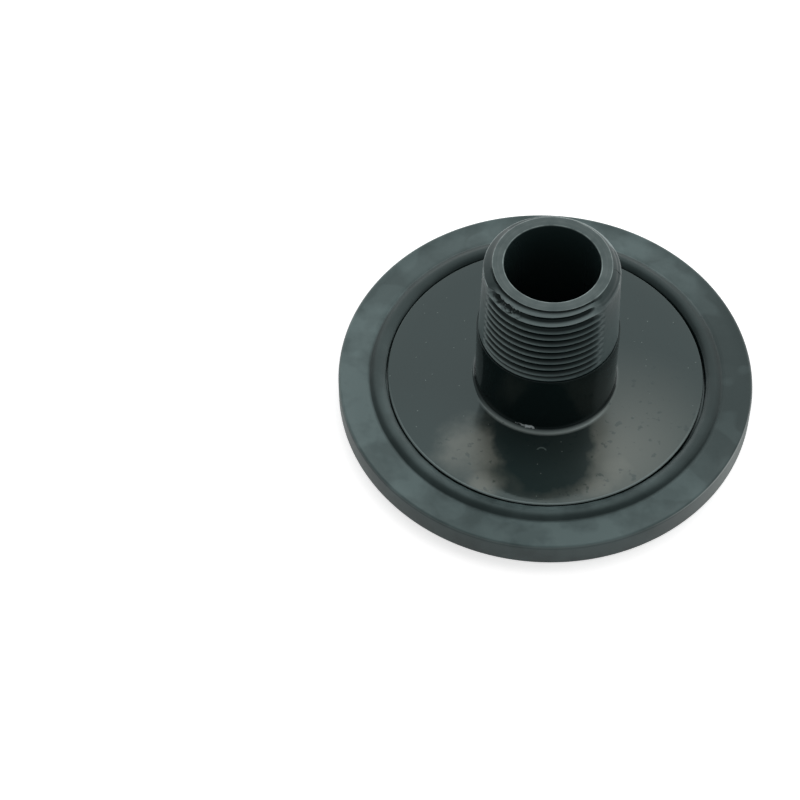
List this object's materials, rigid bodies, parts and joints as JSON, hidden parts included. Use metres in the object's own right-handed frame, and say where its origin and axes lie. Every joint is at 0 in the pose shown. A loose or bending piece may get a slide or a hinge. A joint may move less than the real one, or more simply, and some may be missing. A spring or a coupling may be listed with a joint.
{
  "type": "coarse bubble aerator",
  "caption": "Round rubber-capped disc diffuser with air holes in its flat face and a hollow tapered pipe thread spigot behind.",
  "frame": {"origin": "centre of the rubber face's footprint, on the spigot's axis, at the plane it rests on", "axes": "+Z along the spigot, away from the rubber face; the first air hole lies on +X"},
  "size_m": [0.0822, 0.0822, 0.0403],
  "materials": {
    "base_plastic": "injection moulded black plastic, polished collar and plate, satin thread",
    "cap_rubber": "moulded rubber, matt, with a faint grey-green bloom"
  },
  "bodies": {
    "root": {"base": "base_plastic", "cap": "cap_rubber"}
  },
  "joints": []
}
